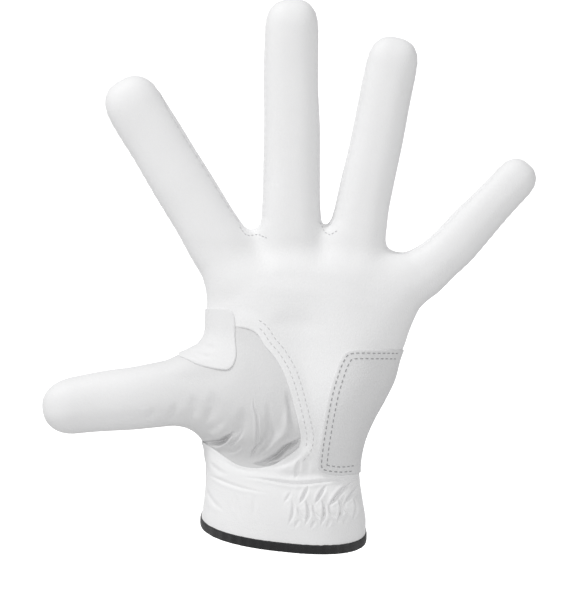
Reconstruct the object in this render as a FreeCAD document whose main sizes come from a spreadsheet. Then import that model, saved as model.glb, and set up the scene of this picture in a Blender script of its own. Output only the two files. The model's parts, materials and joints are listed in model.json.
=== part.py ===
"""Left-hand golf glove, worn shape, in millimetres.

The origin is at the middle of the hem. +Z runs up the hand to the fingertips, the palm faces -Y and the
thumb points to -X. The glove is a leather shell cut into its panels. Each digit bends at two creases in
its palm side, and the closure tab folds out from the back of the cuff.
"""

import FreeCAD
import Part
import math
import os

from FreeCAD import Placement, Rotation, Vector

FINGERS = ("index", "middle", "ring", "little")
DIGITS = FINGERS + ("thumb",)
LEANS_LEFT = ("index", "thumb")
# The sides of each finger that have a fourchette: -1 is the thumb side, 1 the little-finger side.
FOURCHETTE_SIDES = {"index": (1,), "middle": (-1, 1), "ring": (-1, 1), "little": (-1,)}
SIDE_WORDS = {-1: "left", 1: "right"}
# The shares of a quarter turn at which a fingertip's dome gets a cross-section.
DOME_STEPS = (0.0, 0.33, 0.6, 0.79, 0.91)
# The shares of a digit's straight length at which it gets a cross-section.
SHAFT_STEPS = (0.0, 0.33, 0.67)
PALM_LEVELS = ("foot", "cuff", "wrist", "heel", "thenar", "web", "knuckle", "crotch", "top")
FAR = 150.0

SIZES = {
    "leather": 0.6, "seam_gap": 0.05, "clearance": 2.4,
    "fourchette_half": 4.0,
    "side_seam_y": 2.0,
    # Palm: height, middle, half width and half depth of each cross-section.
    "foot_z": -12.0, "foot_x": -0.6, "foot_y": 0.0, "foot_wide": 33.4, "foot_deep": 21.0,
    "cuff_z": 12.0, "cuff_x": -1.0, "cuff_y": 0.0, "cuff_wide": 32.7, "cuff_deep": 20.4,
    "wrist_z": 32.0, "wrist_x": -1.5, "wrist_y": 0.0, "wrist_wide": 30.9, "wrist_deep": 19.8,
    "heel_z": 50.0, "heel_x": 0.0, "heel_y": -0.8, "heel_wide": 32.8, "heel_deep": 19.0,
    "thenar_z": 69.0, "thenar_x": 5.3, "thenar_y": -1.6, "thenar_wide": 37.6, "thenar_deep": 17.8,
    "web_z": 86.0, "web_x": 8.4, "web_y": -2.0, "web_wide": 40.4, "web_deep": 16.4,
    "knuckle_z": 101.0, "knuckle_x": 10.4, "knuckle_y": -1.8, "knuckle_wide": 42.0, "knuckle_deep": 14.6,
    "crotch_z": 112.0, "crotch_x": 7.0, "crotch_y": -1.0, "crotch_wide": 37.0, "crotch_deep": 12.6,
    "top_z": 121.0, "top_x": 5.0, "top_y": -0.5, "top_wide": 28.0, "top_deep": 9.6,
    # Digits: where the axis crosses the crotch line, lean from upright, lengths from there, and radii.
    "index_x": -26.0, "index_y": 0.0, "index_z": 121.9, "index_lean": 31.3,
    "index_root": 24.0, "index_neck": 8.0, "index_crease": 10.0, "index_bend": 40.0,
    "index_long": 78.2, "index_dome": 13.5, "index_mouth_wide": 12.8, "index_mouth_deep": 11.4,
    "index_wide": 12.4, "index_deep": 10.9, "index_tip_wide": 12.0, "index_tip_deep": 9.8,
    "middle_x": 2.2, "middle_y": 0.0, "middle_z": 129.0, "middle_lean": 0.0,
    "middle_root": 22.0, "middle_neck": 8.0, "middle_crease": 10.0, "middle_bend": 46.0,
    "middle_long": 92.4, "middle_dome": 16.0, "middle_mouth_wide": 12.8, "middle_mouth_deep": 11.6,
    "middle_wide": 12.4, "middle_deep": 11.1, "middle_tip_wide": 11.7, "middle_tip_deep": 10.0,
    "ring_x": 28.4, "ring_y": 0.0, "ring_z": 126.7, "ring_lean": 11.6,
    "ring_root": 22.0, "ring_neck": 8.0, "ring_crease": 10.0, "ring_bend": 42.0,
    "ring_long": 81.1, "ring_dome": 13.5, "ring_mouth_wide": 12.2, "ring_mouth_deep": 11.0,
    "ring_wide": 11.6, "ring_deep": 10.5, "ring_tip_wide": 11.2, "ring_tip_deep": 9.4,
    "little_x": 54.3, "little_y": 0.0, "little_z": 108.4, "little_lean": 42.6,
    "little_root": 26.0, "little_neck": 8.0, "little_crease": 8.5, "little_bend": 32.0,
    "little_long": 63.4, "little_dome": 10.5, "little_mouth_wide": 11.2, "little_mouth_deep": 10.2,
    "little_wide": 10.0, "little_deep": 9.3, "little_tip_wide": 8.6, "little_tip_deep": 8.0,
    "thumb_x": -34.4, "thumb_y": -2.0, "thumb_z": 65.0, "thumb_lean": 97.2,
    "thumb_root": 20.0, "thumb_neck": 9.0, "thumb_crease": 9.5, "thumb_bend": 34.0,
    "thumb_long": 63.4, "thumb_dome": 13.0, "thumb_mouth_wide": 16.5, "thumb_mouth_deep": 14.0,
    "thumb_wide": 13.3, "thumb_deep": 12.2, "thumb_tip_wide": 11.4, "thumb_tip_deep": 10.6,
    # Hem: height of the cut at the middle, its tilt down to the palm side and its fall to the right.
    "hem_z": 7.4, "hem_tilt": 18.7, "hem_fall": 5.9, "binding_wide": 3.8, "binding_thick": 0.7,
    # Opening in the back of the cuff.
    "slit_x": -4.0, "slit_half": 5.0, "slit_top": 60.0, "slit_round": 1.6, "slit_binding": 2.4,
    # Hole in the palm panel for the thumb: its corners, and the radii that round them.
    "hole_side": -60.0, "hole_side_foot": 58.0, "hole_foot_x": -12.0, "hole_foot_z": 31.0,
    "hole_foot_round": 22.0, "hole_heel_x": 9.0, "hole_heel_z": 41.0, "hole_heel_round": 6.0,
    "hole_palm_x": -1.0, "hole_palm_z": 73.0, "hole_palm_round": 60.0, "hole_top_x": -10.5,
    "hole_top_z": 86.0,
    # Overlaid patches.
    "heel_patch_top": 81.0, "heel_patch_foot": 33.5, "heel_patch_left": 14.4, "heel_patch_slant": 7.0,
    "heel_patch_corner": 8.0, "web_patch_top": 97.0, "web_patch_foot": 73.6, "web_patch_edge": -20.0,
    "web_patch_corner": 4.0, "web_patch_back": 8.0,
    # Lowest height of each crotch's fourchette, under the name of the finger on its right.
    "middle_crotch_foot": 116.0, "ring_crotch_foot": 118.0, "little_crotch_foot": 105.5,
    # Closure tab and its hook-and-loop pair, as heights above the leather.
    "tab_root_x": -14.0, "tab_end_x": 26.0, "tab_foot": 21.0, "tab_top": 43.0, "tab_corner": 9.0,
    "tab_sewn": 5.0, "loop_high": 0.9, "hook_low": 1.0, "hook_high": 1.9, "tab_low": 2.0, "tab_high": 2.7,
    "hook_x": 4.0, "hook_margin": 2.5, "loop_margin": 1.5, "tab_wall_y": 5.0,
    # Inside the cuff.
    "wrist_elastic_deep": 0.8, "wrist_elastic_x": 2.0, "wrist_elastic_long": 24.0,
    "wrist_elastic_foot": 14.0, "wrist_elastic_high": 8.0,
    "size_label_deep": 0.3, "size_label_x": -25.0, "size_label_long": 11.0,
    "size_label_foot": 24.0, "size_label_high": 14.0,
}

doc = FreeCAD.newDocument("golf_glove")
sheet = doc.addObject("Spreadsheet::Sheet", "Sizes")
nodes = []


def fill_sheet():
    """Writes each driving dimension as plain text in the sheet, beside its name, with an alias."""
    for row, (alias, value) in enumerate(SIZES.items(), start=1):
        sheet.set(f"A{row}", alias)
        sheet.set(f"B{row}", str(value))
        sheet.setAlias(f"B{row}", alias)
    doc.recompute()


def size(alias):
    return float(sheet.get(alias))


def cell(alias):
    return f"Sizes.{alias}"


def bound(obj, **expressions):
    """Binds each property to an expression of the sheet's cells; a double underscore stands for a dot."""
    for prop, expression in expressions.items():
        obj.setExpression(prop.replace("__", "."), str(expression))
    return obj


def placed(obj, x, y, z):
    return bound(obj, Placement__Base__x=x, Placement__Base__y=y, Placement__Base__z=z)


def lean_side(digit):
    return -1 if digit in LEANS_LEFT else 1


def in_digit(digit, obj, x="0", y="0", z="0"):
    """Puts an object in a digit's frame, whose +Z runs to the tip and whose -Y is the palm side."""
    side, lean = lean_side(digit), f"{cell(digit)}_lean * 1 deg"
    obj.Placement = Placement(Vector(), Rotation(Vector(0, side, 0), 1))
    bound(obj, Placement__Rotation__Angle=f"{cell(digit)}_lean * 1 deg")
    return placed(
        obj,
        f"{cell(digit)}_x + ({x}) * cos({lean}) + ({side}) * ({z}) * sin({lean})",
        f"{cell(digit)}_y + ({y})",
        f"{cell(digit)}_z - ({side}) * ({x}) * sin({lean}) + ({z}) * cos({lean})",
    )


def ellipse(name, wide, deep, x, y, z):
    section = doc.addObject("Part::Ellipse", name)
    return placed(bound(section, MajorRadius=wide, MinorRadius=deep), x, y, z)


def loft(name, sections):
    body = doc.addObject("Part::Loft", name)
    body.Sections = sections
    body.Solid = True
    return body


def palm_skin(name, growth):
    """The palm from below the hem to the crotch line, as a loft grown by an expression all round."""
    sections = [
        ellipse(f"{name}_{level}", f"{cell(level)}_wide + ({growth})", f"{cell(level)}_deep + ({growth})",
                f"{cell(level)}_x", f"{cell(level)}_y", f"{cell(level)}_z")
        for level in PALM_LEVELS
    ]
    return loft(name, sections)


def digit_skin(digit, name, growth):
    """A digit from inside the palm to its domed tip, as a loft grown by an expression all round."""
    here = cell(digit)
    sections = []

    def add(label, wide, deep, place):
        sections.append(ellipse(f"{name}_{label}", wide, deep, "0", "0", place))

    for label, place in (("root", f"-{here}_root"), ("mid_root", f"-{here}_root / 2"), ("mouth", "0")):
        add(label, f"{here}_mouth_wide + ({growth})", f"{here}_mouth_deep + ({growth})", place)
    for number, share in enumerate(SHAFT_STEPS):
        radii = (f"{here}_{way} + ({here}_tip_{way} - {here}_{way}) * {share} + ({growth})"
                 for way in ("wide", "deep"))
        add(f"shaft{number}", *radii,
            f"{here}_neck + ({here}_long - {here}_dome - {here}_neck) * {share}")
    for number, step in enumerate(DOME_STEPS):
        across, along = f"cos({90 * step} deg)", f"sin({90 * step} deg)"
        add(f"dome{number}",
            f"({here}_tip_wide + ({growth})) * {across}",
            f"({here}_tip_deep + ({growth})) * {across}",
            f"{here}_long - {here}_dome + ({here}_dome + ({growth})) * {along}")
    return in_digit(digit, loft(name, sections))


def fuse(name, shapes):
    body = doc.addObject("Part::MultiFuse", name)
    body.Shapes = shapes
    return body


def cut(name, base, *tools):
    for number, tool in enumerate(tools, start=1):
        body = doc.addObject("Part::Cut", name if number == len(tools) else f"{name}_step{number}")
        body.Base = base
        body.Tool = tool
        base = body
    return base


def common(name, base, tool):
    body = doc.addObject("Part::Common", name)
    body.Base = base
    body.Tool = tool
    return body


def block(name, low, high, digit=None):
    """A box between two corners, which are expressions, in a digit's frame or in the glove's own."""
    box = doc.addObject("Part::Box", name)
    length, width, height = (f"({top}) - ({foot})" for foot, top in zip(low, high))
    bound(box, Length=length, Width=width, Height=height)
    return in_digit(digit, box, *low) if digit else placed(box, *low)


def prism(name, outline, y_low, y_high):
    """A flat outline in the XZ plane, raised along Y from one depth to another."""
    plate = doc.addObject("Part::Feature", f"{name}_outline")
    plate.Shape = Part.Face(outline)
    plate.Placement = Placement(Vector(0, y_low, 0), Rotation())
    solid = doc.addObject("Part::Extrusion", name)
    solid.Base = plate
    solid.DirMode = "Custom"
    solid.Dir = Vector(0, 1, 0)
    solid.LengthFwd = y_high - y_low
    solid.Solid = True
    return solid


def rounded(corners):
    """A closed wire in the XZ plane through (x, z, radius) corners, each rounded by its radius."""
    points = [Vector(x, 0, z) for x, z, _ in corners]
    edges, ends = [], []
    for i, (_, _, radius) in enumerate(corners):
        here, before, after = points[i], points[i - 1], points[(i + 1) % len(points)]
        back, on = (before - here).normalize(), (after - here).normalize()
        half = back.getAngle(on) / 2
        reach = radius / math.tan(half)
        start, end = here + back * reach, here + on * reach
        if radius:
            middle = here + (back + on).normalize() * (radius / math.sin(half) - radius)
            edges.append(Part.Arc(start, middle, end).toShape())
        ends.append((start, end))
    for i, (_, end) in enumerate(ends):
        edges.append(Part.LineSegment(end, ends[(i + 1) % len(ends)][0]).toShape())
    return Part.Wire(Part.__sortEdges__(edges))


def node(obj, label):
    obj.Label = label
    nodes.append(obj)
    return obj


def hem_slab(name, low, high):
    """The space between two heights above the slanting plane of the hem."""
    box = doc.addObject("Part::Box", name)
    bound(box, Length=2 * FAR, Width=2 * FAR, Height=f"({high}) - ({low})")
    tilt = Rotation(Vector(1, 0, 0), size("hem_tilt")).multiply(
        Rotation(Vector(0, 1, 0), size("hem_fall")))
    low_value = FreeCAD.Units.Quantity(box.evalExpression(str(low))).Value
    frame = Placement(Vector(0, 0, size("hem_z")), tilt)
    box.Placement = frame.multiply(Placement(Vector(-FAR, -FAR, low_value), Rotation()))
    return box


def build_shell():
    """The whole leather shell: the fused outer skins less the fused inner ones, cut off at the hem."""
    thinner = f"-{cell('leather')}"
    outer = fuse("outer_skin", [palm_skin("palm_outer", "0")]
                 + [digit_skin(digit, f"{digit}_outer", "0") for digit in DIGITS])
    inner = fuse("inner_skin", [palm_skin("palm_inner", thinner)]
                 + [digit_skin(digit, f"{digit}_inner", thinner) for digit in DIGITS])
    whole = cut("uncut_shell", outer, inner)
    return outer, cut("shell", whole, hem_slab("below_leather", -FAR, cell("binding_thick")))


def digit_block(digit, name, low, high, y_low=-FAR, y_high=FAR, side=0):
    """A box along a digit's axis between two lengths; a side of -1 or 1 keeps only that half of it."""
    reach = f"({cell(digit)}_wide + {cell('clearance')})"
    x_low = "0" if side > 0 else f"-{reach}"
    x_high = "0" if side < 0 else reach
    return block(name, (x_low, y_low, low), (x_high, y_high, high), digit)


def build_digit(digit, shell):
    """The palm side, the back and the fourchettes of a digit, each in a lower and an upper length."""
    here, gap, half = cell(digit), cell("seam_gap"), cell("fourchette_half")
    lengths = {
        "lower": (f"{here}_crease + {gap}", f"{here}_bend - {gap}", f"{here}_bend"),
        "upper": (f"{here}_bend + {gap}", f"{here}_long + 1", f"{here}_long - {here}_dome"),
    }
    for word, (low, high, seam_end) in lengths.items():
        tube = common(f"{digit}_{word}_tube", shell, digit_block(digit, f"{digit}_{word}_space", low, high))
        strips = []
        for side in FOURCHETTE_SIDES.get(digit, ()):
            name = f"{digit}_{SIDE_WORDS[side]}_fourchette_{word}"
            space = digit_block(digit, f"{name}_space", f"{low} - 1", seam_end, f"-{half}", half, side)
            strips.append(space)
            node(common(name, tube, space), name)
        for face, y_low, y_high in (("palm_side", -FAR, f"-{gap} / 2"), ("back", f"{gap} / 2", FAR)):
            name = f"{digit}_{face}_{word}"
            space = digit_block(digit, f"{name}_space", f"{low} - 1", f"{high} + 1", y_low, y_high)
            half_tube = common(f"{name}_half" if strips else name, tube, space)
            node(cut(name, half_tube, *strips) if strips else half_tube, name)


def crotch_spaces():
    """The space of each crotch between two fingers: a box across its saddle."""
    half = cell("fourchette_half")
    spans = (("index", "middle"), ("middle", "ring"), ("ring", "little"))
    return {
        f"{left}_{right}_fourchette": block(
            f"{left}_{right}_space",
            (f"{cell(left)}_x", f"-{half}", f"{cell(right)}_crotch_foot"),
            (f"{cell(right)}_x", half, FAR))
        for left, right in spans
    }


def slit_outline(growth):
    """The opening in the back of the cuff: wide at the hem, narrow and round at its top."""
    x, half, top, radius = (size(f"slit_{k}") for k in ("x", "half", "top", "round"))
    foot, corner = -20.0, (radius + growth) * 0.8
    return rounded([
        (x - half - growth, foot, 0), (x + half + growth, foot, 0),
        (x + radius + growth, top + growth, corner), (x - radius - growth, top + growth, corner),
    ])


def thumb_hole_outline():
    side = size("hole_side")
    return rounded([
        (side, size("hole_side_foot"), 0),
        (size("hole_foot_x"), size("hole_foot_z"), size("hole_foot_round")),
        (size("hole_heel_x"), size("hole_heel_z"), size("hole_heel_round")),
        (size("hole_palm_x"), size("hole_palm_z"), size("hole_palm_round")),
        (size("hole_top_x"), size("hole_top_z"), 0),
        (side, size("hole_top_z"), 0),
    ])


def heel_patch_outline():
    left, slant, corner = size("heel_patch_left"), size("heel_patch_slant"), size("heel_patch_corner")
    foot, top, side = size("heel_patch_foot"), size("heel_patch_top"), 70.0
    return rounded([(left, foot, 1.0), (side, foot, 0), (side, top, 0), (left + slant, top, corner)])


def web_patch_outline():
    foot, top, edge = size("web_patch_foot"), size("web_patch_top"), size("web_patch_edge")
    corner, side = size("web_patch_corner"), size("hole_side")
    return rounded([(side, foot + corner, 0), (edge, foot, corner), (edge, top, corner), (side, top, 0)])


def tab_outline(inset, root_x):
    end, foot, top, corner = (size(f"tab_{k}") for k in ("end_x", "foot", "top", "corner"))
    return rounded([
        (root_x, foot + inset, 0), (end - inset, foot + inset, corner - inset),
        (end - inset, top - inset, corner - inset), (root_x, top - inset, 0),
    ])


def build_palm(shell):
    """The panels of the hand: palm, back, thumb base and the three fourchettes across the crotches."""
    beyond = fuse("beyond_creases", [
        digit_block(digit, f"{digit}_beyond", f"{cell(digit)}_crease", f"{cell(digit)}_long + 1")
        for digit in DIGITS])
    hand = cut("hand_shell", shell, beyond)
    spaces = crotch_spaces()
    for name, space in spaces.items():
        node(common(name, hand, space), name)
    crotches = fuse("crotch_spaces", list(spaces.values()))
    seam = cell("side_seam_y")
    front = block("front_space", (-FAR, -FAR, -FAR), (FAR, seam, FAR))
    rear = block("rear_space", (-FAR, seam, -FAR), (FAR, FAR, FAR))
    thumb_space = prism("thumb_hole_space", thumb_hole_outline(), -FAR, size("side_seam_y"))
    node(common("thumb_base", hand, thumb_space), "thumb_base")
    node(cut("palm_panel", common("palm_half", hand, front), crotches, thumb_space), "palm_panel")
    slit = prism("slit_space", slit_outline(0.0), size("side_seam_y"), FAR)
    back = node(cut("back_panel", common("back_half", hand, rear), crotches, slit), "back_panel")
    return back, slit


def overlay(label, inner, outer, space, *cuts):
    """A thin layer between two skins, inside a space and outside other solids."""
    piece = common(f"{label}_whole" if cuts else label, cut(f"{label}_layer", outer, inner), space)
    return node(cut(label, piece, *cuts) if cuts else piece, label)


def build_patches(outer):
    patch_skin = palm_skin("patch_skin", cell("leather"))
    heel_space = prism("heel_patch_space", heel_patch_outline(), -FAR, size("side_seam_y"))
    overlay("heel_patch", outer, patch_skin, heel_space)
    web_space = prism("web_patch_space", web_patch_outline(), -FAR, size("web_patch_back"))
    overlay("web_patch", outer, patch_skin, web_space)


def build_bindings(shell, back, slit):
    """The folded tapes that clasp the hem and the edge of the slit, inside and outside."""
    thick, gap = cell("binding_thick"), cell("seam_gap")
    band_out = palm_skin("binding_outer", thick)
    band_in = palm_skin("binding_inner", f"-{cell('leather')} - {thick}")
    hem_space = hem_slab("hem_space", 0, cell("binding_wide"))
    overlay("hem_binding", band_in, band_out, hem_space, shell, slit)
    edge = prism("slit_edge_space", slit_outline(size("slit_binding")), size("side_seam_y"), FAR)
    above_hem = hem_slab("above_hem", f"{cell('binding_wide')} + {gap}", FAR)
    inner_edge = prism("slit_clear_space", slit_outline(-size("binding_thick")), size("side_seam_y"), FAR)
    overlay("slit_binding", band_in, band_out, common("slit_edge_layer", edge, above_hem), back, inner_edge)


def build_linings():
    """The elastic across the palm side of the cuff, and the size label on its back."""
    lining = palm_skin("lining_skin", f"-{cell('leather')} - {cell('seam_gap')}")
    for label, y_low, y_high in (("wrist_elastic", -FAR, 0), ("size_label", 0, FAR)):
        here = cell(label)
        inside = palm_skin(f"{label}_skin", f"-{cell('leather')} - {here}_deep")
        space = block(f"{label}_space", (f"{here}_x", y_low, f"{here}_foot"),
                      (f"{here}_x + {here}_long", y_high, f"{here}_foot + {here}_high"))
        overlay(label, inside, lining, space)


def build_closure(outer):
    """The loop patch on the cuff, the tab over it with its hook patch, and the tab's sewn root."""
    root, gap, hook_x = size("tab_root_x"), size("seam_gap"), size("hook_x")
    depths = (size("tab_wall_y"), FAR)
    tab_top = palm_skin("tab_top_skin", cell("tab_high"))
    tab_low = palm_skin("tab_low_skin", cell("tab_low"))
    hook_low = palm_skin("hook_low_skin", cell("hook_low"))
    hook_top = palm_skin("hook_top_skin", cell("hook_high"))
    loop_top = palm_skin("loop_skin", cell("loop_high"))
    loop_space = prism("loop_space", tab_outline(size("loop_margin"), hook_x), *depths)
    overlay("loop_patch", outer, loop_top, loop_space)
    hook_space = prism("hook_space", tab_outline(size("hook_margin"), hook_x), *depths)
    overlay("tab_hook", hook_low, hook_top, hook_space)
    tab_space = prism("tab_space", tab_outline(0.0, root + gap), *depths)
    overlay("tab_leather", tab_low, tab_top, tab_space)
    sewn_space = block(
        "sewn_space",
        (f"{cell('tab_root_x')} - {cell('tab_sewn')}", cell("tab_wall_y"), cell("tab_foot")),
        (f"{cell('tab_root_x')} - {cell('seam_gap')}", FAR, cell("tab_top")))
    overlay("tab_root", outer, tab_top, sewn_space)


def check():
    """Stops if any object of the document failed, or if a sub-part isn't one sound solid or more."""
    for obj in doc.Objects:
        if "Invalid" in obj.State or "Error" in obj.State:
            raise RuntimeError(f"{obj.Name} failed: {obj.State}")
    for obj in nodes:
        if obj.Shape.isNull() or not obj.Shape.isValid() or not obj.Shape.Solids:
            raise RuntimeError(f"{obj.Label} isn't a valid solid")


def export():
    os.makedirs("parts", exist_ok=True)
    for obj in nodes:
        obj.Shape.exportStep(os.path.join("parts", f"{obj.Label}.step"))
        print(f"{obj.Label}: {len(obj.Shape.Solids)} solid(s), {obj.Shape.Volume:.1f} mm3")


fill_sheet()
outer_skin, glove_shell = build_shell()
for each in DIGITS:
    build_digit(each, glove_shell)
back_panel, slit_space = build_palm(glove_shell)
build_patches(outer_skin)
build_bindings(glove_shell, back_panel, slit_space)
build_linings()
build_closure(outer_skin)
doc.recompute()
check()
export()
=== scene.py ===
import json
import math

import bpy
import numpy as np
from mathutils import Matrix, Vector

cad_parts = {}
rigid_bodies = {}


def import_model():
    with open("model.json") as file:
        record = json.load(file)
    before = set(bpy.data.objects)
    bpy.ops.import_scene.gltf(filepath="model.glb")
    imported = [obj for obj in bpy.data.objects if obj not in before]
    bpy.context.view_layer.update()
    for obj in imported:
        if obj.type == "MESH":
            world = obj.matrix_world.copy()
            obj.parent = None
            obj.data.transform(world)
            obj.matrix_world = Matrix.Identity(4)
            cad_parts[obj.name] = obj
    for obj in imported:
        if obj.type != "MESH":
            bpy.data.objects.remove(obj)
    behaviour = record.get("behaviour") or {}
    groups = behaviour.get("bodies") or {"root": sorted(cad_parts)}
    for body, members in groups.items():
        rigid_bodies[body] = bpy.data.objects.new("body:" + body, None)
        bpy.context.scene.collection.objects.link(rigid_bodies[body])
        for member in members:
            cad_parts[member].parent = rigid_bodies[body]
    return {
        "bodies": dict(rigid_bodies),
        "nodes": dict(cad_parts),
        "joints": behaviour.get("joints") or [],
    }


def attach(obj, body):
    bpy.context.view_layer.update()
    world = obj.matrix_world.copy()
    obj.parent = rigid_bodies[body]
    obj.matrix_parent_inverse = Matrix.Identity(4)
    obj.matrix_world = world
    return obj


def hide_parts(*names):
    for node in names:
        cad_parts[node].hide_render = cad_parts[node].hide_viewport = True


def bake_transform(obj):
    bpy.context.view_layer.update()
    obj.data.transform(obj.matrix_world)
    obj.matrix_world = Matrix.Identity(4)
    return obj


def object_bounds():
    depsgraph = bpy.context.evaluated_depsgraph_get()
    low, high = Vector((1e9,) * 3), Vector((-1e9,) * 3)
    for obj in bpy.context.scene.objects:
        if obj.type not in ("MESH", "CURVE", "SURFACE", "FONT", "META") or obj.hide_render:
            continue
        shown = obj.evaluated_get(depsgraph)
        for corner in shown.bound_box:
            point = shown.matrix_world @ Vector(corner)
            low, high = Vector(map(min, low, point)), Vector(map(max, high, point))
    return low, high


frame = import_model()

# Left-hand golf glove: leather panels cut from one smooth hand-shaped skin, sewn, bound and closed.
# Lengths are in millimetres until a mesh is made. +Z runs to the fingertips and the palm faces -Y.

import openvdb
from mathutils import Vector

for spare in list(bpy.data.objects):
    if spare not in frame["nodes"].values() and spare not in frame["bodies"].values():
        bpy.data.objects.remove(spare)

CAD_BOX = [list(corner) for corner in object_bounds()]
MM = 0.001
DIGITS = ("index", "middle", "ring", "little", "thumb")
FOURCHETTES = {"index": (1,), "middle": (-1, 1), "ring": (-1, 1), "little": (-1,), "thumb": ()}
SIDE_WORDS = {-1: "left", 1: "right"}

VOXEL = 0.85
# The distance that stands for anything far from an outline.
FAR = 8.0
# Depths where the outlines of the palm side end, and where the slit and the closure on the back begin.
FRONT_TO, BACK_FROM = 14.0, 4.0
# Heights of the layers of leather over the skin: lower and upper face.
MAIN = (-0.45, 0.1)
PATCH = (0.12, 0.72)
# The palm panel's rise over the thumb base that it overlaps, and the width of the overlap.
RISE = 0.62
LAP = 2.0


# Curves and smooth steps

def smooth_step(t):
    t = np.clip(t, 0.0, 1.0)
    return t * t * (3.0 - 2.0 * t)


def smooth_curve(stations, values):
    """A function of one variable that passes smoothly through the values and holds the end ones."""
    stations, values = np.asarray(stations, float), np.asarray(values, float)
    slopes = np.gradient(values, stations)
    slopes[[0, -1]] = 0.0

    def value(at):
        at = np.clip(at, stations[0], stations[-1])
        i = np.clip(np.searchsorted(stations, at) - 1, 0, len(stations) - 2)
        step = stations[i + 1] - stations[i]
        t = (at - stations[i]) / step
        return (values[i] * (1 + 2 * t) * (1 - t) ** 2 + slopes[i] * step * t * (1 - t) ** 2
                + values[i + 1] * t * t * (3 - 2 * t) + slopes[i + 1] * step * t * t * (t - 1))

    return value


def curve_points(corners, steps):
    """Points of a smooth curve from the second corner to the last but one; the outer ones steer its ends."""
    t = (np.arange(steps) / steps)[:, None]
    return np.concatenate([
        0.5 * (2 * b + (c - a) * t + (2 * a - 5 * b + 4 * c - d) * t ** 2 + (3 * b - a - 3 * c + d) * t ** 3)
        for a, b, c, d in zip(corners, corners[1:], corners[2:], corners[3:])])


def along_corners(corners, count):
    """Coordinates of points at even steps along straight lines between corners."""
    corners = np.array(corners, float)
    steps = np.linspace(0, len(corners) - 1, count)
    return [np.interp(steps, np.arange(len(corners)), corners[:, i]) for i in (0, 1)]


def rounded_distance(shares, sizes, power):
    """Roughly the distance outside a superellipse, from shares of its half sizes along each axis."""
    reach = sum(share ** power for share in shares) ** (1 / power)
    square = sum(share * share for share in shares)
    slope = sum((share / size) ** 2 for share, size in zip(shares, sizes))
    return (reach - 1.0) * np.sqrt((square + 1e-9) / (slope + 1e-12))


def soft_min(a, b, radius):
    blend = np.clip(0.5 + 0.5 * (b - a) / radius, 0.0, 1.0)
    return b * (1 - blend) + a * blend - radius * blend * (1 - blend)


def soft_max(a, b, radius):
    return -soft_min(-a, -b, radius)


# The shape of the hand, measured on the frame

def node_points(*names):
    """The corners of CAD nodes, in millimetres."""
    return np.concatenate([
        np.array([v.co for v in frame["nodes"][name].data.vertices], float) for name in names]) / MM


def section(names, height):
    """The points (x, y) where the edges of CAD nodes cross a height."""
    found = []
    for name in names:
        mesh = frame["nodes"][name].data
        points = node_points(name)
        ends = np.array([e.vertices[:] for e in mesh.edges])
        a, b = points[ends[:, 0]], points[ends[:, 1]]
        crossing = (a[:, 2] - height) * (b[:, 2] - height) < 0
        a, b = a[crossing], b[crossing]
        share = ((height - a[:, 2]) / (b[:, 2] - a[:, 2]))[:, None]
        found.append((a + (b - a) * share)[:, :2])
    return np.concatenate(found)


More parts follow.
